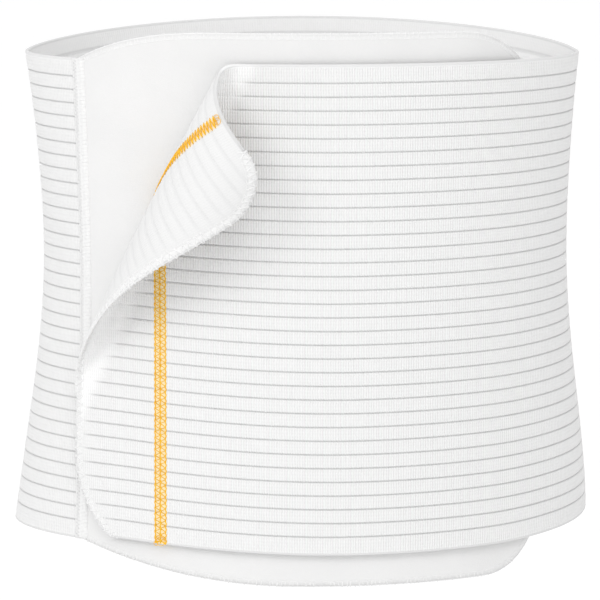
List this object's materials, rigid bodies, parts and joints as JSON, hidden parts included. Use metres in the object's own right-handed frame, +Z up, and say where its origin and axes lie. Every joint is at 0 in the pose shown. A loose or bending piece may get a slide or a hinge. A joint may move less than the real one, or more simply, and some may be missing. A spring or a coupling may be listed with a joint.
{
  "type": "abdominal binder",
  "caption": "Wide ribbed elastic abdominal binder in its worn form, closed over a soft velour front panel, with one corner of its free end peeled outwards.",
  "frame": {"origin": "on the axis of the waist, at mid-height of the elastic band", "axes": "+Z up along the waist's axis, -Y towards the front where the band closes, +X to the right as seen from the front"},
  "size_m": [0.3138, 0.2414, 0.282],
  "materials": {
    "elastic": "matte white ribbed elastic weave with thin dark grooves",
    "velour": "soft matte loop velour, warm white",
    "white_thread": "matte bulky overlock thread",
    "golden_thread": "slightly glossy golden sewing thread"
  },
  "bodies": {
    "root": {"elastic_band": "elastic", "closure_panel": "velour", "band_end_overlock": "white_thread", "panel_edge_overlock": "white_thread", "joining_seam": "white_thread", "marker_stitch_face": "golden_thread", "marker_stitch_back": "golden_thread"}
  },
  "joints": []
}
